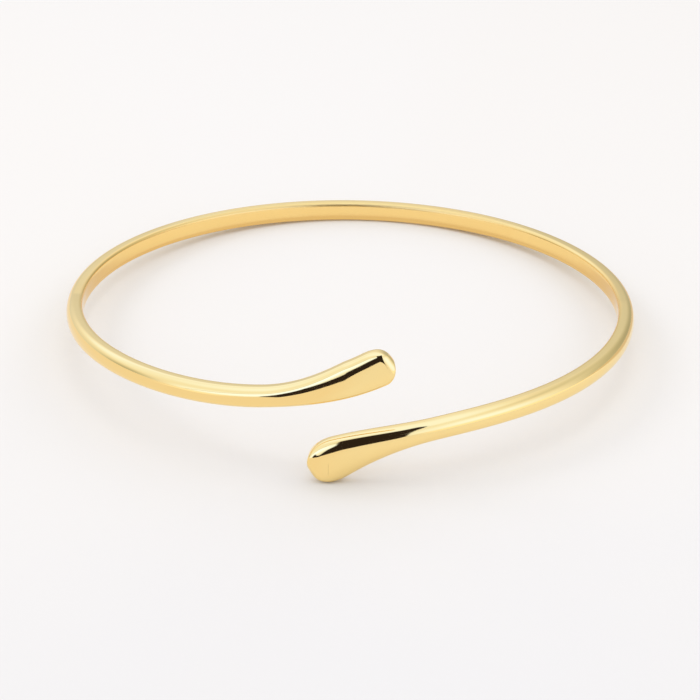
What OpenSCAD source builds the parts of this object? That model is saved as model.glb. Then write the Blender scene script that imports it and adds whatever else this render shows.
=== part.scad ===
// Open bypass armlet: one wire bent into a hoop for the upper arm. Its two ends are flattened into drops
// that pass each other at the front, the left one above the right one.
// Millimetres. The front is -Y. The armlet lies by itself on the plane Z = 0, on the lower drop and the
// back of the hoop, with the middle of its bounding box over the origin.

/* [Hoop] */
// Diameter of the hoop, to the middle of the wire
hoop_d = 85; // [70:1:110]
// Thickness of the wire, outwards from the arm
wire_t = 2.5; // [1.5:0.05:4]
// Height of the wire, along the arm
wire_h = 3.1; // [2:0.05:5]
// Fullness of the wire's outer face: 2 is a half ellipse, and more is flatter with tighter edges
outer_fullness = 2.3; // [2:0.1:5]
// Fullness of the wire's inner face, which lies flatter on the arm
inner_fullness = 5.5; // [2:0.1:8]

/* [Left arm, which passes above] */
// Angle round the hoop from the middle of the back to the tip
left_end = 188.2; // [182:0.1:200]
// Height gained evenly from the side of the hoop to its front
left_climb = 2.5; // [0:0.05:6]
// Height that the turned-up end adds at the front
left_kick = 3.85; // [0:0.05:8]
// Height that the drop grows to
left_drop_h = 5.75; // [4:0.05:10]
// Fullness of the drop's outer face
left_drop_fullness = 3; // [2:0.05:5]
// How much less the drop turns than the hoop does, in degrees
left_straightening = 6; // [0:0.5:15]
// Length over which the drop's upper edge rounds off to the tip
left_upper_nose_l = 3.3; // [1:0.1:6]
// Fullness of that rounding: 2 is round, and more is blunter
left_upper_nose_fullness = 2.6; // [1.5:0.1:4]
// How far from the tip the drop's upper edge has grown to its full height
left_upper_full_at = 5.7; // [0:0.1:10]
// Length over which the drop's lower edge rounds off to the tip
left_lower_nose_l = 2; // [1:0.1:6]
// Fullness of that rounding: 2 is round, and more is blunter
left_lower_nose_fullness = 1.6; // [1.5:0.1:4]
// How far from the tip the drop's lower edge has grown to its full height
left_lower_full_at = 0; // [0:0.1:10]

/* [Right arm, which passes below] */
// Angle round the hoop from the middle of the back to the tip
right_end = 187.3; // [182:0.1:200]
// Height lost evenly from the side of the hoop to its front
right_fall = 1.15; // [0:0.05:6]
// Depth that the turned-down end adds at the front
right_kick = 3.75; // [0:0.05:8]
// Height that the drop grows to
right_drop_h = 7.4; // [4:0.05:10]
// Fullness of the drop's outer face
right_drop_fullness = 2.35; // [2:0.05:5]
// How much less the drop turns than the hoop does, in degrees
right_straightening = 2.5; // [0:0.5:15]
// Length over which the drop's upper edge rounds off to the tip
right_upper_nose_l = 4.3; // [1:0.1:6]
// Fullness of that rounding: 2 is round, and more is blunter
right_upper_nose_fullness = 2; // [1.5:0.1:4]
// How far from the tip the drop's upper edge has grown to its full height
right_upper_full_at = 0; // [0:0.1:10]
// Length over which the drop's lower edge rounds off to the tip
right_lower_nose_l = 4.4; // [1:0.1:6]
// Fullness of that rounding: 2 is round, and more is blunter
right_lower_nose_fullness = 2.2; // [1.5:0.1:4]
// How far from the tip the drop's lower edge has grown to its full height
right_lower_full_at = 0; // [0:0.1:10]

/* [Both drops] */
// Length of each drop, from the tip to where it becomes plain wire
drop_l = 18.5; // [10:0.1:30]
// Length over which a drop's thickness rounds off to the tip
edge_l = 0.6; // [0.3:0.1:3]
// Fullness of that rounding: 2 is round, and more is blunter
edge_fullness = 2.3; // [1.5:0.1:4]
// How much flatter the outer face gets as a nose lowers it: 0 is not at all
nose_flattening = 1.3; // [0:0.1:3]
// How late each end turns up or down: 1 is an even slope, and more keeps the turn to the very end
kick_power = 7; // [2:0.5:10]

/* [How it lies] */
// How far the front of the hoop leans up from the table, in degrees
lean = 5.2; // [0:0.1:12]
// How far the left side of the hoop leans up from the table, in degrees
side_lean = 0.4; // [-3:0.1:3]

/* [Hidden] */

hoop_r = hoop_d / 2;
gold = [0.91, 0.74, 0.38];

// Angle round the hoop at which the arms begin to leave its plane, and that at the middle of the front
side_angle = 90;
front_angle = 180;

// How softly a drop's edges come to their full height: 1 is with a crease, and more is softer
flare_power = 1.3;

// The greatest fullness that a nose gives the outer face
largest_fullness = 8;

// Steps round the section, over a nose, over the rest of a drop, and over the rest of an arm
section_steps = 24;
nose_steps = 10;
flare_steps = 14;
arm_steps = 56;

// Columns of the table of arms, which has a row for each arm: the side that it lies on, its end angle, its
// even change of height, its turned end's change of height, its drop's height, fullness and straightening,
// and the drop's upper and lower edge
SIDE = 0;
END = 1;
CLIMB = 2;
KICK = 3;
DROP_H = 4;
DROP_FULLNESS = 5;
STRAIGHTENING = 6;
UPPER = 7;
LOWER = 8;

// Columns of an edge: the length and fullness of its rounding to the tip, and where it has its full height
NOSE_L = 0;
NOSE_FULLNESS = 1;
FULL_AT = 2;
ARMS = [
    [
        -1, left_end, left_climb, left_kick, left_drop_h, left_drop_fullness, left_straightening,
        [left_upper_nose_l, left_upper_nose_fullness, left_upper_full_at],
        [left_lower_nose_l, left_lower_nose_fullness, left_lower_full_at]
    ],
    [
        1, right_end, -right_fall, -right_kick, right_drop_h, right_drop_fullness, right_straightening,
        [right_upper_nose_l, right_upper_nose_fullness, right_upper_full_at],
        [right_lower_nose_l, right_lower_nose_fullness, right_lower_full_at]
    ]
];
LEFT = ARMS[0];
RIGHT = ARMS[1];

function unit(v) = v / norm(v);

// The arm that an angle belongs to, negative angles being on the left
function arm_at(angle) = angle < 0 ? LEFT : RIGHT;

// Distance along the hoop from the tip of the arm, and the angle at that distance
function from_tip(angle) = (arm_at(angle)[END] - abs(angle)) * PI * hoop_r / 180;
function angle_from_tip(arm, distance) = arm[SIDE] * (arm[END] - distance / hoop_r * 180 / PI);

// Height of the wire's middle over the hoop's plane: an even climb with a turned end
function height_at(angle) =
    let (
        arm = arm_at(angle),
        share = max(0, abs(angle) - side_angle) / (front_angle - side_angle)
    )
    arm[CLIMB] * share + arm[KICK] * pow(share, kick_power);

// Distance of the wire's middle from the hoop's: a drop turns less than the hoop, so it leaves the circle
function distance_out(angle) =
    let (share = max(0, 1 - from_tip(angle) / drop_l))
    hoop_r + arm_at(angle)[STRAIGHTENING] * PI / 180 * drop_l * pow(share, 3) / 3;

// The middle of the wire, angle 0 being at the back and positive angles on the right
function middle_at(angle) = [
    distance_out(angle) * sin(angle),
    distance_out(angle) * cos(angle),
    height_at(angle)
];

// Share of a full size that is left at a distance from the tip, where it rounds off over a length
function rounded(distance, length, fullness) =
    let (short = max(0, 1 - distance / length))
    pow(1 - pow(short, fullness), 1 / fullness);

function nose_l(arm) = max(arm[UPPER][NOSE_L], arm[LOWER][NOSE_L]);

// How far a drop has grown at an edge, from 0 at the plain wire to 1
function grown(edge, distance) =
    let (
        share = (distance - edge[FULL_AT]) / (drop_l - edge[FULL_AT]),
        kept = min(1, max(0, share))
    )
    pow(1 - pow(kept, flare_power), 2);

// Share of an edge's height that its nose leaves
function left_by_nose(edge, distance) = rounded(distance, edge[NOSE_L], edge[NOSE_FULLNESS]);

// Height of the section at an edge
function edge_h(arm, edge, distance) =
    (wire_h + (arm[DROP_H] - wire_h) * grown(edge, distance)) * left_by_nose(edge, distance);

// Fullness of the outer face at an edge
function face_fullness(arm, edge, distance) =
    let (
        fullness = outer_fullness + (arm[DROP_FULLNESS] - outer_fullness) * grown(edge, distance),
        left = max(0.05, left_by_nose(edge, distance))
    )
    min(largest_fullness, fullness / pow(left, nose_flattening));

// A point of the section's outline, 1 across each way: x outwards from the arm, y along the arm
function outline(turn, face) =
    let (
        fullness = cos(turn) > 0 ? face : inner_fullness,
        reach = pow(pow(abs(cos(turn)), fullness) + pow(abs(sin(turn)), fullness), 1 / fullness)
    )
    [cos(turn), sin(turn)] / reach / 2;

// One ring of the wire's skin at an angle, in the plane across the wire
function ring(angle) =
    let (
        arm = arm_at(angle),
        distance = from_tip(angle),
        step = 0.1,
        along = unit(middle_at(angle + step) - middle_at(angle - step)),
        out = unit([-along.y, along.x, 0]),
        up = cross(along, out),
        thickness = wire_t * rounded(distance, edge_l, edge_fullness),
        upper_h = edge_h(arm, arm[UPPER], distance),
        lower_h = edge_h(arm, arm[LOWER], distance),
        upper_face = face_fullness(arm, arm[UPPER], distance),
        lower_face = face_fullness(arm, arm[LOWER], distance)
    )
    [
        for (k = [0 : section_steps - 1])
            let (
                turn = 360 * k / section_steps,
                edge = outline(turn, sin(turn) > 0 ? upper_face : lower_face)
            )
            middle_at(angle) + out * edge.x * thickness + up * edge.y * (edge.y > 0 ? upper_h : lower_h)
    ];

// Distances of an arm's rings from its tip: close over the nose, wider over the drop and the arm
function ring_distances(arm) =
    let (arm_l = arm[END] * PI * hoop_r / 180)
    [
        for (k = [1 : nose_steps]) nose_l(arm) * (1 - cos(90 * k / nose_steps)),
        for (k = [1 : flare_steps]) nose_l(arm) + (drop_l - nose_l(arm)) * k / flare_steps,
        for (k = [1 : arm_steps - 1]) drop_l + (arm_l - drop_l) * k / arm_steps
    ];

left_angles = [for (distance = ring_distances(LEFT)) angle_from_tip(LEFT, distance)];
right_distances = ring_distances(RIGHT);
right_angles = [
    for (k = [len(right_distances) - 1 : -1 : 0]) angle_from_tip(RIGHT, right_distances[k])
];
angles = concat(left_angles, [0], right_angles);

// Leans the hoop over onto the lower drop: front up, then left side up
function leaned(p) =
    let (
        pitched = [p.x, p.y * cos(lean) + p.z * sin(lean), p.z * cos(lean) - p.y * sin(lean)]
    )
    [
        pitched.x * cos(side_lean) + pitched.z * sin(side_lean),
        pitched.y,
        pitched.z * cos(side_lean) - pitched.x * sin(side_lean)
    ];

// The skin's points: the left tip, the rings one after another, and the right tip
hoop_points = concat(
    [middle_at(-left_end)],
    [for (angle = angles) each ring(angle)],
    [middle_at(right_end)]
);
points = [for (p = hoop_points) leaned(p)];
first_tip = 0;
last_tip = len(points) - 1;

function point_number(row, k) = 1 + row * section_steps + k % section_steps;

left_fan = [
    for (k = [0 : section_steps - 1])
        [first_tip, point_number(0, k), point_number(0, k + 1)]
];
right_fan = [
    for (k = [0 : section_steps - 1])
        [point_number(len(angles) - 1, k), last_tip, point_number(len(angles) - 1, k + 1)]
];
skin = [
    for (row = [0 : len(angles) - 2], k = [0 : section_steps - 1])
        let (
            a = point_number(row, k),
            b = point_number(row + 1, k),
            c = point_number(row + 1, k + 1),
            d = point_number(row, k + 1)
        )
        each [[a, b, c], [a, c, d]]
];

// Middle of the bounding box, on the table
xs = [for (p = points) p.x];
ys = [for (p = points) p.y];
zs = [for (p = points) p.z];
box_bottom = [(min(xs) + max(xs)) / 2, (min(ys) + max(ys)) / 2, min(zs)];

// The whole armlet: a wire swept round the hoop, with a drop at each end
module cuff() {
    color(gold)
        translate(-box_bottom)
            polyhedron(points, concat(left_fan, skin, right_fan));
}

cuff();
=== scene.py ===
"""An open bypass armlet of polished gold-plated wire, lying on a pale table under a white light tent."""
import math
from collections import namedtuple

import bpy
import numpy as np
from mathutils import Matrix, Vector


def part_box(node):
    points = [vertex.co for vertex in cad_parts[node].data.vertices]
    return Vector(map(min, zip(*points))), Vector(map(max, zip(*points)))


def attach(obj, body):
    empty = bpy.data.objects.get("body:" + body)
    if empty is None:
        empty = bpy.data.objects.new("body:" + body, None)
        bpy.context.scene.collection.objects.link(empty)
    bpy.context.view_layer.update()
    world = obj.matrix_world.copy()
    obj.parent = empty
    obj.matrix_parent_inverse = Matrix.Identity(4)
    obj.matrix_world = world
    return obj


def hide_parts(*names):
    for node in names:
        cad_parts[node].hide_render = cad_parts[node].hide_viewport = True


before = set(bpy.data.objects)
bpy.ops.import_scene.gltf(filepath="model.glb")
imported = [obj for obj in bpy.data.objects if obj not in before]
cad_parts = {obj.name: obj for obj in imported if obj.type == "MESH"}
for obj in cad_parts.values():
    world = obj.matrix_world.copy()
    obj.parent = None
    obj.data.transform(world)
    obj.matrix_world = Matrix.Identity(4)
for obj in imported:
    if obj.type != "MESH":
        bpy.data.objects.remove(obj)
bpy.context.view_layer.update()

MM = 0.001

# Sizes of the wire, in millimetres, and the fullness of its outer and inner face
WIRE_T = 2.5
WIRE_H = 3.1
OUTER_FULLNESS = 2.3
INNER_FULLNESS = 5.5

# The hoop's radius to the middle of the wire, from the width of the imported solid
CUFF_LOW, CUFF_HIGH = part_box("cuff")
HOOP_R = ((CUFF_HIGH.x - CUFF_LOW.x) / MM - WIRE_T) / 2

# Each edge of a drop: the length and fullness of its rounding to the tip, and how far from the tip it
# stands at its full height
Edge = namedtuple("Edge", "nose_l fullness full_at")

# Each arm's side, the angle of its tip from the back, its even rise from the side to the front and the
# further rise of its turned end, its drop's height before the edges are rounded, the fullness of the drop's
# outer face, how many degrees less the drop turns than the hoop, its upper and lower edge, and the length
# of the rounding of its thickness to the tip
Arm = namedtuple("Arm", "side end climb kick drop_h drop_fullness straightening upper lower tip_l")
LEFT = Arm(
    side=-1, end=188.2, climb=2.5, kick=3.85, drop_h=5.75, drop_fullness=3.0, straightening=6.0,
    upper=Edge(nose_l=3.3, fullness=2.6, full_at=5.7), lower=Edge(nose_l=2.0, fullness=1.6, full_at=0.0),
    tip_l=1.2,
)
RIGHT = Arm(
    side=1, end=187.3, climb=-1.15, kick=-3.75, drop_h=7.4, drop_fullness=2.35, straightening=2.5,
    upper=Edge(nose_l=4.3, fullness=2.0, full_at=0.0), lower=Edge(nose_l=4.4, fullness=2.2, full_at=0.0),
    tip_l=2.0,
)

# The angles from the back at which the rise starts and is full, a drop's length, the fullness of the
# rounding of its thickness, and the powers by which the turned end rises and the drop grows
SIDE_ANGLE = 90
FRONT_ANGLE = 180
DROP_L = 18.5
TIP_FULLNESS = 2.3
KICK_POWER = 7
FLARE_POWER = 1.3

# How much fuller the outer face gets as a nose lowers it, the least share of its height that counts for
# this, and the most that its fullness gets
NOSE_FLATTENING = 1.3
LEAST_LEFT = 0.05
LARGEST_FULLNESS = 8

# How far the front and the left side lean up from the table, in degrees
LEAN = 5.2
SIDE_LEAN = 0.4

# Steps round the section, over a nose, over the rest of a drop, and over the rest of an arm
SECTION_STEPS = 96
NOSE_STEPS = 36
FLARE_STEPS = 110
ARM_STEPS = 250

# The camera looks at this point of the table, from this direction, azimuth 0 being the front, and is
# turned a little about its own axis
AIM = (0.0, -3.68 * MM, 0.0)
CAMERA_AZIMUTH = 0.235
CAMERA_ELEVATION = 28.6
CAMERA_ROLL = 0.34
CAMERA_DISTANCE = 466.5 * MM
SENSOR = 36.0
LENS = 155.4


def rounded(distance, length, fullness):
    """Share of a full size left at a distance from the tip: (1 - (1 - distance / length)^f)^(1 / f)."""
    short = np.clip(1 - distance / length, 0, 1)
    return (1 - short**fullness) ** (1 / fullness)


def nose_l(arm):
    """Length of the longer of a drop's two edge roundings."""
    return max(arm.upper.nose_l, arm.lower.nose_l)


def arm_length(arm):
    """Length of an arm round the hoop, from its tip to the middle of the back."""
    return math.radians(arm.end) * HOOP_R


def middle_at(arm, distance):
    """The wire's middle at a distance from the tip. The radius is
    HOOP_R + straightening * DROP_L * share^3 / 3, with a share from 0 where the drop starts to 1 at the tip.
    The height is climb * rise + kick * rise^7, with a rise from 0 at the hoop's side to 1 at its front."""
    angle = np.radians(arm.end) - distance / HOOP_R
    rise = np.clip((np.degrees(angle) - SIDE_ANGLE) / (FRONT_ANGLE - SIDE_ANGLE), 0, None)
    share = np.clip(1 - distance / DROP_L, 0, None)
    radius = HOOP_R + math.radians(arm.straightening) * DROP_L * share**3 / 3
    height = arm.climb * rise + arm.kick * rise**KICK_POWER
    return np.stack([arm.side * radius * np.sin(angle), radius * np.cos(angle), height], axis=-1)


def flare(edge, distance):
    """How far a drop has grown at an edge, from 0 at the plain wire to 1: (1 - share^p)^2."""
    share = np.clip((distance - edge.full_at) / (DROP_L - edge.full_at), 0, 1)
    return (1 - share**FLARE_POWER) ** 2


def outer_fullness(arm, grown, left):
    """Fullness of the outer face where a drop has grown and a nose leaves a share of its height:
    (wire's + (drop's - wire's) * grown) / left^k."""
    fullness = OUTER_FULLNESS + (arm.drop_fullness - OUTER_FULLNESS) * grown
    return np.minimum(fullness / np.maximum(left, LEAST_LEFT) ** NOSE_FLATTENING, LARGEST_FULLNESS)


def outline(upper, lower):
    """Each ring's outline, 1 across each way: superellipses, the outer face's fullness its own above and
    below the middle. The first place is at the bottom."""
    turn = np.radians(-90 + 360 * np.arange(SECTION_STEPS) / SECTION_STEPS)
    outer = np.where(np.sin(turn) > 0, upper[:, None], lower[:, None])
    fullness = np.where(np.cos(turn) > 0, outer, INNER_FULLNESS)
    reach = (np.abs(np.cos(turn)) ** fullness + np.abs(np.sin(turn)) ** fullness) ** (1 / fullness)
    return np.cos(turn) / reach / 2, np.sin(turn) / reach / 2


def unit(vectors):
    """Vectors of length 1 in the same directions."""
    return vectors / np.linalg.norm(vectors, axis=-1, keepdims=True)


def arm_rings(arm, distances):
    """Rings of the skin across the wire's direction: middle + out * x * thickness + up * y * height."""
    step = 0.05
    middle = middle_at(arm, distances)
    along = unit(middle_at(arm, distances - step) - middle_at(arm, distances + step))
    out = unit(np.stack([-along[:, 1], along[:, 0], np.zeros(len(along))], axis=-1)) * arm.side
    up = np.cross(along, out) * arm.side
    upper_left = rounded(distances, arm.upper.nose_l, arm.upper.fullness)
    lower_left = rounded(distances, arm.lower.nose_l, arm.lower.fullness)
    upper_grown, lower_grown = flare(arm.upper, distances), flare(arm.lower, distances)
    upper_h = (WIRE_H + (arm.drop_h - WIRE_H) * upper_grown) * upper_left
    lower_h = (WIRE_H + (arm.drop_h - WIRE_H) * lower_grown) * lower_left
    upper_face = outer_fullness(arm, upper_grown, upper_left)
    lower_face = outer_fullness(arm, lower_grown, lower_left)
    x, y = outline(upper_face, lower_face)
    thick = WIRE_T * rounded(distances, arm.tip_l, TIP_FULLNESS)[:, None] * x
    tall = np.where(y > 0, upper_h[:, None], lower_h[:, None]) * y
    return middle[:, None] + out[:, None] * thick[..., None] + up[:, None] * tall[..., None]


def ring_distances(arm):
    """Distances of an arm's rings from its tip. Over the nose they grow as 1 - cos of even steps up to a
    right angle, and past it evenly, closer over the drop than over the plain wire."""
    nose = nose_l(arm) * (1 - np.cos(np.pi / 2 * np.arange(1, NOSE_STEPS + 1) / NOSE_STEPS))
    drop = nose_l(arm) + (DROP_L - nose_l(arm)) * np.arange(1, FLARE_STEPS + 1) / FLARE_STEPS
    plain = DROP_L + (arm_length(arm) - DROP_L) * np.arange(1, ARM_STEPS + 1) / ARM_STEPS
    return np.concatenate([nose, drop, plain])


def leaned(points):
    """The hoop's points, turned so that its front leans up by LEAN and its left side by SIDE_LEAN."""
    pitch = Matrix.Rotation(-math.radians(LEAN), 3, "X")
    roll = Matrix.Rotation(math.radians(SIDE_LEAN), 3, "Y")
    return points @ np.array(roll @ pitch).T


def fitted(points):
    """Points stretched each way from their own box to the solid's."""
    low, high = points.min(axis=0), points.max(axis=0)
    cad_low, cad_high = np.array(CUFF_LOW), np.array(CUFF_HIGH)
    return cad_low + (points - low) / (high - low) * (cad_high - cad_low)


def skin_faces(rows):
    """Faces of the skin: quads from each of its rows of points to the next, and a fan of triangles at each
    tip. The two tips come after the rows."""
    row, place = np.meshgrid(np.arange(rows - 1), np.arange(SECTION_STEPS), indexing="ij")
    following = (place + 1) % SECTION_STEPS
    corners = [(row, place), (row, following), (row + 1, following), (row + 1, place)]
    quads = np.stack([r * SECTION_STEPS + p for r, p in corners], axis=-1).reshape(-1, 4)

    around = np.arange(SECTION_STEPS)
    after = (around + 1) % SECTION_STEPS
    last = (rows - 1) * SECTION_STEPS
    left_tip, right_tip = rows * SECTION_STEPS, rows * SECTION_STEPS + 1
    left_fan = np.stack([np.full(SECTION_STEPS, left_tip), after, around], axis=-1)
    right_fan = np.stack([np.full(SECTION_STEPS, right_tip), last + around, last + after], axis=-1)
    return quads.tolist() + left_fan.tolist() + right_fan.tolist()


# The UV map's length for the way round the section, from the bottom over the outer face, the top and the
# inner face: about three quarters of the plain wire's real girth
GIRTH = WIRE_T + WIRE_H * 1.5


def skin_uv(along):
    """UV map of the skin's faces, in their order: how far along the wire, and round it from 0 to GIRTH."""
    row, place = np.meshgrid(np.arange(len(along) - 1), np.arange(SECTION_STEPS), indexing="ij")
    corners = [(row, place), (row, place + 1), (row + 1, place + 1), (row + 1, place)]
    quads = np.stack(
        [np.stack([along[r], p / SECTION_STEPS * GIRTH], axis=-1) for r, p in corners], axis=2
    )

    around = np.arange(SECTION_STEPS)
    fan_v = np.stack([around + 0.5, around + 1, around], axis=-1) / SECTION_STEPS * GIRTH
    right_end = arm_length(LEFT) + arm_length(RIGHT)
    left_u = np.broadcast_to([0.0, along[0], along[0]], fan_v.shape)
    right_u = np.broadcast_to([right_end, along[-1], along[-1]], fan_v.shape)
    left_fan = np.stack([left_u, fan_v], axis=-1)
    right_fan = np.stack([right_u, fan_v[:, [0, 2, 1]]], axis=-1)
    return np.concatenate([faces.reshape(-1, 2) for faces in (quads, left_fan, right_fan)])


def cuff_mesh():
    """The skin from the left tip to the right: a grid of rings by places round the section, closed by a
    fan of triangles at each tip and fitted to the solid's box."""
    left = ring_distances(LEFT)
    right = ring_distances(RIGHT)[-2::-1]
    along = np.concatenate([left, arm_length(LEFT) + arm_length(RIGHT) - right])
    rings = np.concatenate([arm_rings(LEFT, left), arm_rings(RIGHT, right)])
    tips = np.stack([middle_at(LEFT, 0.0), middle_at(RIGHT, 0.0)])
    points = fitted(leaned(np.concatenate([rings.reshape(-1, 3), tips])) * MM)

    mesh = bpy.data.meshes.new("armlet_cuff")
    mesh.from_pydata(points.tolist(), [], skin_faces(len(rings)))
    uv = mesh.uv_layers.new(name="along_and_round")
    uv.data.foreach_set("uv", (skin_uv(along) * MM).ravel())
    mesh.polygons.foreach_set("use_smooth", np.ones(len(mesh.polygons), dtype=bool))
    mesh.update()
    return mesh


def node(tree, kind, **sockets):
    """A new node of a tree, with constants or links set on its inputs by name or number."""
    made = tree.nodes.new(kind)
    for name, value in sockets.items():
        socket = made.inputs[int(name[1:])] if name[0] == "_" else made.inputs[name.replace("_", " ")]
        if isinstance(value, bpy.types.NodeSocket):
            tree.links.new(value, socket)
        else:
            socket.default_value = value
    return made


def maths(tree, operation, *values):
    """The result of a Math node on the given values or sockets."""
    made = node(tree, "ShaderNodeMath", **{f"_{k}": value for k, value in enumerate(values)})
    made.operation = operation
    return made.outputs["Value"]


def ranged(tree, value, low, high, to_low=0.0, to_high=1.0):
    """A smooth step of a value from to_low at low to to_high at high."""
    made = tree.nodes.new("ShaderNodeMapRange")
    made.interpolation_type = "SMOOTHSTEP"
    for name, amount in (("From Min", low), ("From Max", high), ("To Min", to_low), ("To Max", to_high)):
        made.inputs[name].default_value = amount
    tree.links.new(value, made.inputs["Value"])
    return made.outputs["Result"]


# Numbers of the Mix node's colour inputs and output, which share their names with its other sockets
MIX_FIRST = 6
MIX_SECOND = 7
MIX_RESULT = 2


def blend(tree, share, first, second):
    """A colour between two others, either of them a constant or a socket."""
    made = tree.nodes.new("ShaderNodeMix")
    made.data_type = "RGBA"
    tree.links.new(share, made.inputs[0])
    for number, colour in ((MIX_FIRST, first), (MIX_SECOND, second)):
        if isinstance(colour, bpy.types.NodeSocket):
            tree.links.new(colour, made.inputs[number])
        else:
            made.inputs[number].default_value = (*colour, 1)
    return made.outputs[MIX_RESULT]


def new_material(name):
    """A material with an empty node tree and its output."""
    material = bpy.data.materials.new(name)
    material.use_nodes = True
    tree = material.node_tree
    tree.nodes.clear()
    return material, tree, tree.nodes.new("ShaderNodeOutputMaterial")


# Bands round the section, in shares of the way round it: where each starts, is full, fades and ends
Band = namedtuple("Band", "start full fading end")
# The inner face's band: there the gold takes a deeper tone, painted for the gold-coloured light bounced
# inside the hoop
INNER_BOUNCE_BAND = Band(0.56, 0.62, 0.94, 0.99)
UPPER_INNER_EDGE = Band(0.46, 0.51, 0.62, 0.67)

# The plating's tone outside the hoop, its deeper tone on the inner face, which paints the gold-coloured
# light bounced inside the hoop, and its tone in the scratch
GOLD = (1.0, 0.765, 0.335)
INNER_BOUNCE_GOLD = (0.985, 0.69, 0.258)
WORN_GOLD = (0.72, 0.5, 0.2)

# The plating's polishing lines to a metre along and across the wire, its ripples and its clouds of tone
LINES_ALONG = 90.0
LINES_ACROSS = 5200.0
RIPPLES = 330.0
CLOUDS = 85.0

# How far the clouds and the scratch shift the tone, and the noise at which the clouds and the polishing
# lines have their least and their full effect
CLOUD_LEAST_SHIFT = -0.12
CLOUD_FULL_SHIFT = 0.2
CLOUD_LEAST_AT = 0.35
CLOUD_FULL_AT = 0.75
LINES_LEAST_AT = 0.3
LINES_FULL_AT = 0.75
SCRATCH_SHIFT = 0.55

# How deep the ripples, the polishing lines and the scratch are, in metres
RIPPLE_DEPTH = 9e-6
LINE_DEPTH = 5e-7
SCRATCH_DEPTH = 3e-6

# The plating's roughness on its smoothest and its dullest lines, what the scratch, the back and the back's
# worn upper inner edge add to it, and where along Y the back starts and is full
LEAST_ROUGHNESS = 0.045
LINE_ROUGHNESS = 0.075
SCRATCH_ROUGHNESS = 0.12
BACK_ROUGHNESS = 0.11
EDGE_ROUGHNESS = 0.3
BACK_FROM = 25 * MM
BACK_FULL = 38 * MM

# A fine upright scratch on the lower drop: its place across and its width, its lower and upper end and how
# far it fades past them, and where along Y it is full and ends, so that only the drop's front face has it
SCRATCH_X = -2.83 * MM
SCRATCH_W = 0.09 * MM
SCRATCH_LOW = 1.9 * MM
SCRATCH_HIGH = 3.1 * MM
SCRATCH_LOW_FADE = 0.5 * MM
SCRATCH_HIGH_FADE = 0.6 * MM
SCRATCH_Y_FULL = -42 * MM
SCRATCH_Y_END = -41 * MM


def scratch(tree, position):
    """1 on the scratch and 0 off it, fading out at its ends and sides."""
    place = node(tree, "ShaderNodeSeparateXYZ", Vector=position)
    aside = maths(tree, "ABSOLUTE", maths(tree, "SUBTRACT", place.outputs["X"], SCRATCH_X))
    across = ranged(tree, aside, 0.0, SCRATCH_W, 1.0, 0.0)
    above = ranged(tree, place.outputs["Z"], SCRATCH_LOW - SCRATCH_LOW_FADE, SCRATCH_LOW)
    below = ranged(tree, place.outputs["Z"], SCRATCH_HIGH, SCRATCH_HIGH + SCRATCH_HIGH_FADE, 1.0, 0.0)
    front = ranged(tree, place.outputs["Y"], SCRATCH_Y_FULL, SCRATCH_Y_END, 1.0, 0.0)
    along = maths(tree, "MULTIPLY", below, front)
    return maths(tree, "MULTIPLY", maths(tree, "MULTIPLY", across, above), along)


def on_band(tree, round_place, band):
    """1 on a band round the section and 0 off it."""
    start = ranged(tree, round_place, band.start * GIRTH * MM, band.full * GIRTH * MM)
    end = ranged(tree, round_place, band.fading * GIRTH * MM, band.end * GIRTH * MM, 1.0, 0.0)
    return maths(tree, "MULTIPLY", start, end)


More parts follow.
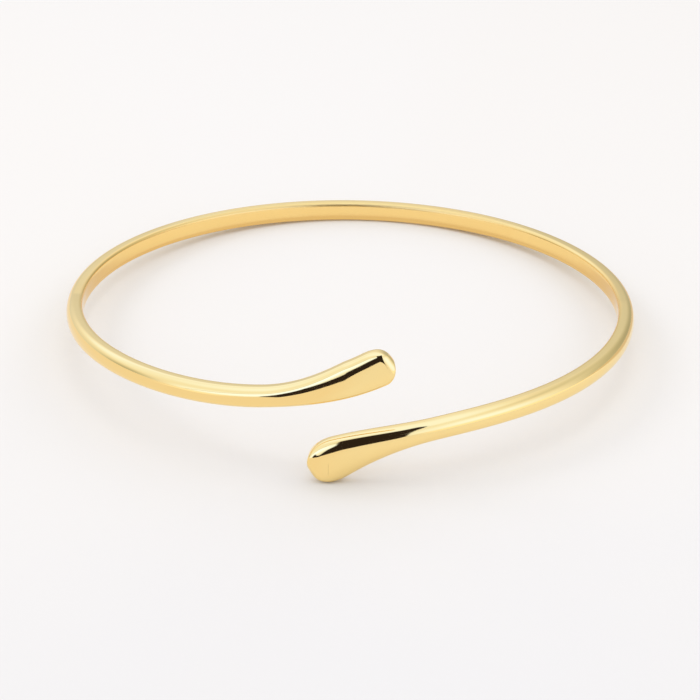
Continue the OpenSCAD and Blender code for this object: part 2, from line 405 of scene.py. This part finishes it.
def polished_gold():
    """Mirror-polished gold plating: a deeper tone on the inner face, painted for the gold-coloured light
    bounced inside the hoop, fine polishing lines drawn out along the wire, slow ripples of the hand-bent
    wire under them, a duller back, and one fine scratch."""
    material, tree, output = new_material("polished_gold")
    position = tree.nodes.new("ShaderNodeTexCoord").outputs["Object"]
    uv = tree.nodes.new("ShaderNodeUVMap")
    uv.uv_map = "along_and_round"
    stretch = (LINES_ALONG, LINES_ACROSS, 1.0)
    drawn_out = node(tree, "ShaderNodeVectorMath", _0=uv.outputs["UV"], _1=stretch)
    drawn_out.operation = "MULTIPLY"
    lines = node(tree, "ShaderNodeTexNoise", Vector=drawn_out.outputs[0], Scale=1.0, Detail=2.0)
    ripple = node(tree, "ShaderNodeTexNoise", Vector=position, Scale=RIPPLES, Detail=1.0)
    cloud = node(tree, "ShaderNodeTexNoise", Vector=position, Scale=CLOUDS, Detail=2.0)
    mark = scratch(tree, position)

    round_place = node(tree, "ShaderNodeSeparateXYZ", Vector=uv.outputs["UV"]).outputs["Y"]
    # Painted bounce light on the inner face, shifted by the plating's random clouds of tone
    inner_bounce = on_band(tree, round_place, INNER_BOUNCE_BAND)
    shift = ranged(
        tree, cloud.outputs["Fac"], CLOUD_LEAST_AT, CLOUD_FULL_AT, CLOUD_LEAST_SHIFT, CLOUD_FULL_SHIFT
    )
    bounce_and_tone = maths(tree, "ADD", inner_bounce, shift)
    bounce_and_tone.node.use_clamp = True
    colour = blend(tree, bounce_and_tone, GOLD, INNER_BOUNCE_GOLD)
    colour = blend(tree, maths(tree, "MULTIPLY", mark, SCRATCH_SHIFT), colour, WORN_GOLD)

    waves = node(tree, "ShaderNodeBump", Height=ripple.outputs["Fac"], Distance=RIPPLE_DEPTH, Strength=1.0)
    drawn = node(
        tree, "ShaderNodeBump", Height=lines.outputs["Fac"], Distance=LINE_DEPTH, Strength=1.0,
        Normal=waves.outputs["Normal"],
    )
    cut = node(
        tree, "ShaderNodeBump", Height=mark, Distance=-SCRATCH_DEPTH, Strength=1.0,
        Normal=drawn.outputs["Normal"],
    )
    dull_lines = ranged(
        tree, lines.outputs["Fac"], LINES_LEAST_AT, LINES_FULL_AT, LEAST_ROUGHNESS, LINE_ROUGHNESS
    )
    rough = maths(tree, "ADD", dull_lines, maths(tree, "MULTIPLY", mark, SCRATCH_ROUGHNESS))
    depth = node(tree, "ShaderNodeSeparateXYZ", Vector=position).outputs["Y"]
    back = ranged(tree, depth, BACK_FROM, BACK_FULL)
    edge = on_band(tree, round_place, UPPER_INNER_EDGE)
    worn = maths(tree, "MULTIPLY_ADD", edge, EDGE_ROUGHNESS, BACK_ROUGHNESS)
    rough = maths(tree, "MULTIPLY_ADD", back, worn, rough)
    metal = node(
        tree, "ShaderNodeBsdfPrincipled", Normal=cut.outputs["Normal"], Base_Color=colour, Roughness=rough
    )
    metal.inputs["Metallic"].default_value = 1.0
    tree.links.new(metal.outputs[0], output.inputs["Surface"])
    return material


def cuff():
    """The armlet's skin, which rides on the solid and is shown in its place."""
    piece = bpy.data.objects.new("armlet_cuff", cuff_mesh())
    bpy.context.scene.collection.objects.link(piece)
    piece.data.materials.append(polished_gold())
    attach(piece, "root")
    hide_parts("cuff")


# The table's half width in metres, its tone at the front, darker and cooler as painted shade, and at the
# back, warmer and brighter as painted light, and where along Y it changes
TABLE_HALF = 4.0
FRONT_SHADE_TONE = (0.77, 0.765, 0.777)
BACK_LIT_TONE = (0.802, 0.79, 0.785)
FRONT_TONE_TO = -110 * MM
BACK_TONE_FROM = 10 * MM

# The table's clouds to a metre, the noise at which they move the change of tone to either side, and how
# far they move it
TABLE_CLOUDS = 14.0
TONE_BACK_AT = 0.3
TONE_FRONT_AT = 0.7
TONE_SHIFT = 18 * MM

# The table's grains to a metre and their depth in metres, and how rough and how glossy its paint is
TABLE_GRAINS = 2600.0
GRAIN_DEPTH = 6e-6
TABLE_ROUGHNESS = 0.75
TABLE_GLOSS = 0.15


def pale_table():
    """Matt white sheet with painted shade and light: darker and cooler at the front, warmer and brighter
    towards the back, faintly clouded, with a fine grain.
    """
    material, tree, output = new_material("pale_table")
    position = tree.nodes.new("ShaderNodeTexCoord").outputs["Object"]
    depth = node(tree, "ShaderNodeSeparateXYZ", Vector=position).outputs["Y"]
    cloud = node(tree, "ShaderNodeTexNoise", Vector=position, Scale=TABLE_CLOUDS, Detail=2.0)
    shift = ranged(tree, cloud.outputs["Fac"], TONE_BACK_AT, TONE_FRONT_AT, -TONE_SHIFT, TONE_SHIFT)
    # Painted shade at the front, giving way to painted light towards the back
    back = ranged(tree, maths(tree, "ADD", depth, shift), FRONT_TONE_TO, BACK_TONE_FROM)
    colour = blend(tree, back, FRONT_SHADE_TONE, BACK_LIT_TONE)
    grain = node(tree, "ShaderNodeTexNoise", Vector=position, Scale=TABLE_GRAINS, Detail=2.0)
    bump = node(tree, "ShaderNodeBump", Height=grain.outputs["Fac"], Distance=GRAIN_DEPTH, Strength=1.0)
    paint = node(tree, "ShaderNodeBsdfPrincipled", Base_Color=colour, Normal=bump.outputs["Normal"])
    paint.inputs["Roughness"].default_value = TABLE_ROUGHNESS
    paint.inputs["Specular IOR Level"].default_value = TABLE_GLOSS
    tree.links.new(paint.outputs[0], output.inputs["Surface"])
    return material


def table():
    """A wide pale table top."""
    mesh = bpy.data.meshes.new("table_top")
    corners = [(x * TABLE_HALF, y * TABLE_HALF, 0) for x, y in ((-1, -1), (1, -1), (1, 1), (-1, 1))]
    mesh.from_pydata(corners, [], [(0, 1, 2, 3)])
    top = bpy.data.objects.new("table_top", mesh)
    bpy.context.scene.collection.objects.link(top)
    mesh.materials.append(pale_table())


# The drops' own place, from which the tent's dark parts are aimed
DROPS = np.array([0.0, -43.0, 11.0]) * MM

# The tent's radius in metres, and its extra light overhead, from where it starts to where it is full
TENT_RADIUS = 0.46
OVERHEAD_GAIN = 0.2
OVERHEAD_FROM = 36
OVERHEAD_FULL = 63

# Soft changes of the tent's light: the middle of each, its spread, and how much it adds. All angles of the
# tent are in degrees: azimuth is 0 at the front and positive to the right.
Glow = namedtuple("Glow", "azimuth half_width elevation half_height gain")
GLOWS = {
    "right_strip": Glow(50, 34, 12, 18, 0.26),
    "right_upper_wall": Glow(99, 42, 50, 13, -0.25),
    "left_panel": Glow(-28, 22, 17, 10, 0.42),
    "left_strip": Glow(-54, 21, 6, 12, 0.26),
    "left_upper_wall": Glow(-90, 40, 45, 11, 0.04),
    "left_back_wall": Glow(-148, 35, 30, 11, 0.22),
    "left_foot": Glow(-92, 18, 2, 14, -0.44),
    "left_back": Glow(-140, 38, 0, 20, -0.2),
    "right_foot": Glow(104, 14, 5, 18, -0.1),
    "right_back": Glow(140, 42, 8, 34, -0.55),
    "back": Glow(185, 18, 8, 12, -0.12),
    "upper_back": Glow(178, 22, 40, 16, 0.13),
}

# A fold of a line on the tent
Fold = namedtuple("Fold", "azimuth elevation")

# The tent's seam, a thin darker line beside the opening: its folds, width and depth, and where each end
# starts and is full
SEAM = (Fold(-66, -5), Fold(-59, 10), Fold(-48, 20), Fold(-36, 24), Fold(-24, 27), Fold(-18, 36))
SEAM_WIDTH = 1.6
SEAM_DEPTH = 0.5
SEAM_LEFT_END, SEAM_LEFT_FULL = -72, -62
SEAM_RIGHT_END, SEAM_RIGHT_FULL = -14, -18

# Colour of the dark parts past the tent and the table
DARK = (0.025, 0.019, 0.02)


def smooth(share):
    """Smooth step: 3 s^2 - 2 s^3 of a share clipped to 0..1."""
    share = np.clip(share, 0, 1)
    return share * share * (3 - 2 * share)


def ramp(value, start, full):
    """Smooth step of a value from 0 at the start to 1 where it is full, either way round."""
    return smooth((value - start) / (full - start))


def within(distance, blur):
    """1 at a distance inside an edge and 0 outside it, blurred over a width across the edge."""
    return smooth(distance / blur + 0.5)


def fold_elevation(folds, azimuth):
    """Elevation of a line on the tent at an azimuth, straight from fold to fold."""
    return np.interp(azimuth, [fold.azimuth for fold in folds], [fold.elevation for fold in folds])


def tent_light(azimuth, elevation):
    """Light of the tent's cloth: brighter overhead, with a Gaussian change for each row of GLOWS, and
    darker along the seam."""
    light = 1.0 + OVERHEAD_GAIN * ramp(elevation, OVERHEAD_FROM, OVERHEAD_FULL)
    for glow in GLOWS.values():
        turn = (azimuth - glow.azimuth + 180) % 360 - 180
        near = (turn / glow.half_width) ** 2 + ((elevation - glow.elevation) / glow.half_height) ** 2
        light = light + glow.gain * np.exp(-near)
    off_seam = elevation - fold_elevation(SEAM, azimuth)
    left_part = ramp(azimuth, SEAM_LEFT_END, SEAM_LEFT_FULL)
    along = left_part * ramp(azimuth, SEAM_RIGHT_END, SEAM_RIGHT_FULL)
    return light * (1 - SEAM_DEPTH * along * np.exp(-((off_seam / SEAM_WIDTH) ** 2)))


def cool(light):
    """Colour of the tent's light, which loses red and gains blue as it gets brighter: red is the lesser of
    a share and a low power of the light, and blue the greater of two higher powers of it."""
    red = np.minimum(0.97 * light, 0.94 * light**0.4)
    blue = np.maximum(1.1 * light**1.2, 1.12 * light**2.2)
    return np.stack([red, light, blue], axis=-1)


def dark(places):
    """The brownish black of the dark parts, for each of an array of places."""
    return np.broadcast_to(DARK, (*places.shape, 3))


def warm(light):
    """Colour of the painted shade and light that the metal sees on the table, browner where it is darker:
    red follows a lower power of the light and blue a higher one."""
    return np.stack([1.04 * light**0.8, light, 0.96 * light**1.2], axis=-1)


def direction(azimuth, elevation):
    """Unit vector towards an azimuth, 0 being the front and positive to the right, and an elevation."""
    az, el = np.radians(azimuth), np.radians(elevation)
    return np.stack([np.sin(az) * np.cos(el), -np.cos(az) * np.cos(el), np.sin(el)], axis=-1)


# A patch of the tent: from and to which azimuth and elevation, and how far apart its points are both ways
Patch = namedtuple("Patch", "left right bottom top turn_step rise_step")
DOME_PATCH = Patch(-180, 180, -1, 90, 1, 0.5)
OPENING_PATCH = Patch(-30, 36, -2, 78, 0.5, 0.5)
HEM_PATCH = Patch(-40, -6, -4, 14, 0.5, 0.25)


def patch_grid(patch):
    """Azimuth and elevation of each point of a patch: a grid of even steps both ways."""
    columns = round((patch.right - patch.left) / patch.turn_step) + 1
    rows = round((patch.top - patch.bottom) / patch.rise_step) + 1
    turn = np.linspace(patch.left, patch.right, columns)
    return np.meshgrid(turn, np.linspace(patch.bottom, patch.top, rows))


def tent_part(name, points, colour, cover):
    """A glowing grid surface that shows only in what the metal reflects. Its colour and how much it covers
    are attributes of its points."""
    rows, columns = points.shape[:2]
    index = np.arange(rows * columns).reshape(rows, columns)
    faces = np.stack([index[:-1, :-1], index[:-1, 1:], index[1:, 1:], index[1:, :-1]], axis=-1)
    mesh = bpy.data.meshes.new(name)
    mesh.from_pydata(points.reshape(-1, 3).tolist(), [], faces.reshape(-1, 4).tolist())
    glow = mesh.color_attributes.new("light", "FLOAT_COLOR", "POINT")
    cover = np.broadcast_to(cover, (rows, columns))
    glow.data.foreach_set("color", np.concatenate([colour, cover[..., None]], axis=-1).ravel())
    part = bpy.data.objects.new(name, mesh)
    bpy.context.scene.collection.objects.link(part)

    material, tree, output = new_material(name)
    seen = tree.nodes.new("ShaderNodeAttribute")
    seen.attribute_name = "light"
    shine = node(tree, "ShaderNodeEmission", Color=seen.outputs["Color"], Strength=1.0)
    clear = tree.nodes.new("ShaderNodeBsdfTransparent")
    mixed = node(
        tree, "ShaderNodeMixShader", _0=seen.outputs["Alpha"], _1=clear.outputs[0], _2=shine.outputs[0]
    )
    tree.links.new(mixed.outputs[0], output.inputs["Surface"])
    material.cycles.emission_sampling = "NONE"
    mesh.materials.append(material)
    part.visible_camera = False
    part.visible_diffuse = False
    part.visible_shadow = False


def tent_dome():
    """The tent's cloth as painted reflection: a glowing dome round the armlet, seen only in what the metal
    reflects.
    """
    azimuth, elevation = patch_grid(DOME_PATCH)
    colour = cool(tent_light(azimuth, elevation))
    tent_part("tent_dome", TENT_RADIUS * direction(azimuth, elevation), colour, 1.0)


# How far the opening and its hem stand from the drops, in metres, and the blur of their edges, in degrees
OPENING_DISTANCE = 0.4
HEM_DISTANCE = 0.39
CLOTH_BLUR = 1.2
RIGHT_BLUR = 1.0
TOP_BLUR = 8

# The opening's left edge, from its foot up, seen from the drops
LEFT_EDGE = (Fold(-15.6, 8), Fold(-14.5, 14), Fold(-14.6, 20), Fold(-36, 78))

# The opening's right edge: its azimuth, the elevation from which it leans out, and how fast
RIGHT_EDGE = 20
LEAN_FROM = 12
LEAN_RATE = 0.0063

# The opening's top: its elevation at the front, and its slope
TOP = 54
TOP_SLOPE = 0.5


def tent_opening():
    """The dark opening behind the camera: both edges lean out towards its top, which slopes up to the
    right and fades. Left from folds, right = RIGHT_EDGE + LEAN_RATE * (elevation - LEAN_FROM)^2."""
    azimuth, elevation = patch_grid(OPENING_PATCH)
    left_edge = np.interp(
        elevation, [fold.elevation for fold in LEFT_EDGE], [fold.azimuth for fold in LEFT_EDGE]
    )
    right_edge = RIGHT_EDGE + LEAN_RATE * np.maximum(elevation - LEAN_FROM, 0) ** 2
    sides = within(azimuth - left_edge, CLOTH_BLUR) * within(right_edge - azimuth, RIGHT_BLUR)
    cover = sides * within(TOP + TOP_SLOPE * azimuth - elevation, TOP_BLUR)
    points = DROPS + OPENING_DISTANCE * direction(azimuth, elevation)
    tent_part("tent_opening", points, dark(azimuth), cover)


# The upper edge of the dark hem beside the opening, seen from the drops, and the hem's left end and slope
HEM = (
    Fold(-38, 3), Fold(-34, 9), Fold(-30, 10), Fold(-24, 5), Fold(-20, 2), Fold(-17, 0.5), Fold(-14, -1),
)
HEM_END = -38.5
HEM_SLOPE = 0.1


def tent_hem():
    """The dark hem of the tent's cloth at the opening's left foot."""
    azimuth, elevation = patch_grid(HEM_PATCH)
    under = within(fold_elevation(HEM, azimuth) - elevation, CLOTH_BLUR)
    cover = under * within(azimuth - (HEM_END + HEM_SLOPE * elevation), CLOTH_BLUR)
    tent_part("tent_hem", DROPS + HEM_DISTANCE * direction(azimuth, elevation), dark(azimuth), cover)


# How high the dark floor past the table is drawn, from and to which azimuth, in how many columns and rows
# of points, and where its left end starts and is full
FLOOR_HEIGHT = 0.6 * MM
FLOOR_LEFT, FLOOR_RIGHT = -42, 20.5
FLOOR_COLUMNS, FLOOR_ROWS = 126, 60
FLOOR_LEFT_END, FLOOR_LEFT_FULL = -39, -35

# The table's uneven front edge, seen from the drops: each corner's distance in millimetres
Corner = namedtuple("Corner", "azimuth distance")
TABLE_EDGE = (
    Corner(-40, 67), Corner(-30, 72), Corner(-21, 73), Corner(-14, 66), Corner(-9, 62), Corner(-5, 100),
    Corner(4, 95), Corner(20, 100),
)


def past_the_table():
    """The dark floor past the table's front edge, its points at edge + (OPENING_DISTANCE - edge) * step^2
    from the drops."""
    turn = np.linspace(FLOOR_LEFT, FLOOR_RIGHT, FLOOR_COLUMNS)
    azimuth, step = np.meshgrid(turn, np.linspace(0, 1, FLOOR_ROWS))
    corners = [corner.azimuth for corner in TABLE_EDGE], [corner.distance for corner in TABLE_EDGE]
    edge = np.interp(azimuth, *corners) * MM
    reach = edge + (OPENING_DISTANCE - edge) * step**2
    foot = np.array([DROPS[0], DROPS[1], FLOOR_HEIGHT])
    points = foot + reach[..., None] * direction(azimuth, np.zeros_like(azimuth))
    left_part = ramp(azimuth, FLOOR_LEFT_END, FLOOR_LEFT_FULL)
    cover = left_part * within(RIGHT_EDGE - azimuth, RIGHT_BLUR)
    tent_part("past_the_table", points, dark(azimuth), cover)


# Sheets of painted shade and painted light over the table, which show only in what the metal reflects: from
# and to which azimuth, the nearest and the farthest distance from the hoop's middle, the softness of both
# and the height over the table, these four in millimetres, the light, and how much darker the painted shade
# is at the near rim
Sheet = namedtuple("Sheet", "from_azimuth to_azimuth near far softness height light rim")
SHEETS = {
    "left_shade": Sheet(-160, 2, 43.5, 380, 2, 0.2, 0.84, 0.0),
    "right_back_shade": Sheet(80, 178, 50, 380, 8, 0.2, 0.62, 0.0),
    "inner_shade": Sheet(100, 260, 36.8, 43, 2.5, 0.1, 0.68, 0.0),
    "bright_foot_right": Sheet(18, 92, 76, 380, 3, 0.4, 1.08, 0.2),
    "bright_foot_left": Sheet(-70, -36, 92, 380, 4, 0.4, 1.05, 0.0),
}

# The width of the near rim in millimetres, the degrees over which the sheets' ends fade, and the sheets'
# columns and rows of points
RIM_WIDTH = 1.5
SHEET_FADE = 12
SHEET_COLUMNS, SHEET_ROWS = 120, 80


def table_sheet(name, sheet):
    """A flat sector over the table that shows only in what the metal reflects, as painted shade and light
    on the table, soft all round, with its points at near + (far - near) * step^2 from the hoop's middle."""
    turn = np.linspace(sheet.from_azimuth, sheet.to_azimuth, SHEET_COLUMNS)
    azimuth, step = np.meshgrid(turn, np.linspace(0, 1, SHEET_ROWS))
    reach = sheet.near + (sheet.far - sheet.near) * step**2
    foot = np.array([0.0, 0.0, sheet.height * MM])
    points = foot + reach[..., None] * MM * direction(azimuth, np.zeros_like(azimuth))
    light = sheet.light * (1 - sheet.rim * np.exp(-(((reach - sheet.near) / RIM_WIDTH) ** 2)))
    first_end = smooth((azimuth - sheet.from_azimuth) / SHEET_FADE)
    ends = first_end * smooth((sheet.to_azimuth - azimuth) / SHEET_FADE)
    sides = smooth((reach - sheet.near) / sheet.softness) * smooth((sheet.far - reach) / sheet.softness)
    tent_part(name, points, warm(light), ends * sides)


# The studio's soft lamps: each one's place, distance and size in metres, power in watts, and colour
Lamp = namedtuple("Lamp", "azimuth elevation distance size power colour")
LAMPS = {
    "overhead_lamp": Lamp(0, 88, 0.7, 0.5, 0.7, (1.0, 0.99, 0.98)),
    "left_lamp": Lamp(-100, 44, 0.6, 0.22, 0.34, (1.0, 0.985, 0.97)),
    "right_lamp": Lamp(98, 44, 0.6, 0.32, 0.24, (1.0, 0.985, 0.97)),
}
ROOM_COLOUR = (1.0, 0.99, 0.985, 1)
ROOM_LIGHT = 0.98


def soft_light(name, lamp):
    """A square lamp aimed at the hoop, hidden from the camera and from what the metal reflects."""
    data = bpy.data.lights.new(name, "AREA")
    data.shape = "SQUARE"
    data.size = lamp.size
    data.energy = lamp.power
    data.color = lamp.colour
    made = bpy.data.objects.new(name, data)
    bpy.context.scene.collection.objects.link(made)
    away = Vector(direction(lamp.azimuth, lamp.elevation).tolist())
    made.location = lamp.distance * away
    made.rotation_euler = away.to_track_quat("Z", "Y").to_euler()
    made.visible_camera = False
    made.visible_glossy = False


def studio():
    """White surroundings, three soft lamps, and the tent and table sheets as painted reflections, which show
    only in what the metal reflects.
    """
    world = bpy.data.worlds.new("white_room")
    bpy.context.scene.world = world
    world.use_nodes = True
    tree = world.node_tree
    tree.nodes.clear()
    light = node(tree, "ShaderNodeBackground", Color=ROOM_COLOUR, Strength=ROOM_LIGHT)
    output = tree.nodes.new("ShaderNodeOutputWorld")
    tree.links.new(light.outputs[0], output.inputs["Surface"])
    for name, lamp in LAMPS.items():
        soft_light(name, lamp)
    tent_dome()
    tent_opening()
    tent_hem()
    past_the_table()
    for name, sheet in SHEETS.items():
        table_sheet(name, sheet)


def camera():
    """The camera, aimed at a point of the table and turned about its own axis."""
    away = Vector(direction(CAMERA_AZIMUTH, CAMERA_ELEVATION).tolist())
    data = bpy.data.cameras.new("camera")
    data.sensor_width = SENSOR
    data.lens = LENS
    data.clip_start = 0.01
    data.clip_end = 20.0
    seen_from = bpy.data.objects.new("camera", data)
    bpy.context.scene.collection.objects.link(seen_from)
    seen_from.location = Vector(AIM) + CAMERA_DISTANCE * away
    upright = away.to_track_quat("Z", "Y").to_matrix()
    rolled = upright @ Matrix.Rotation(math.radians(CAMERA_ROLL), 3, "Z")
    seen_from.rotation_euler = rolled.to_euler()
    bpy.context.scene.camera = seen_from


bpy.context.scene.view_settings.view_transform = "Standard"
camera()
cuff()
table()
studio()
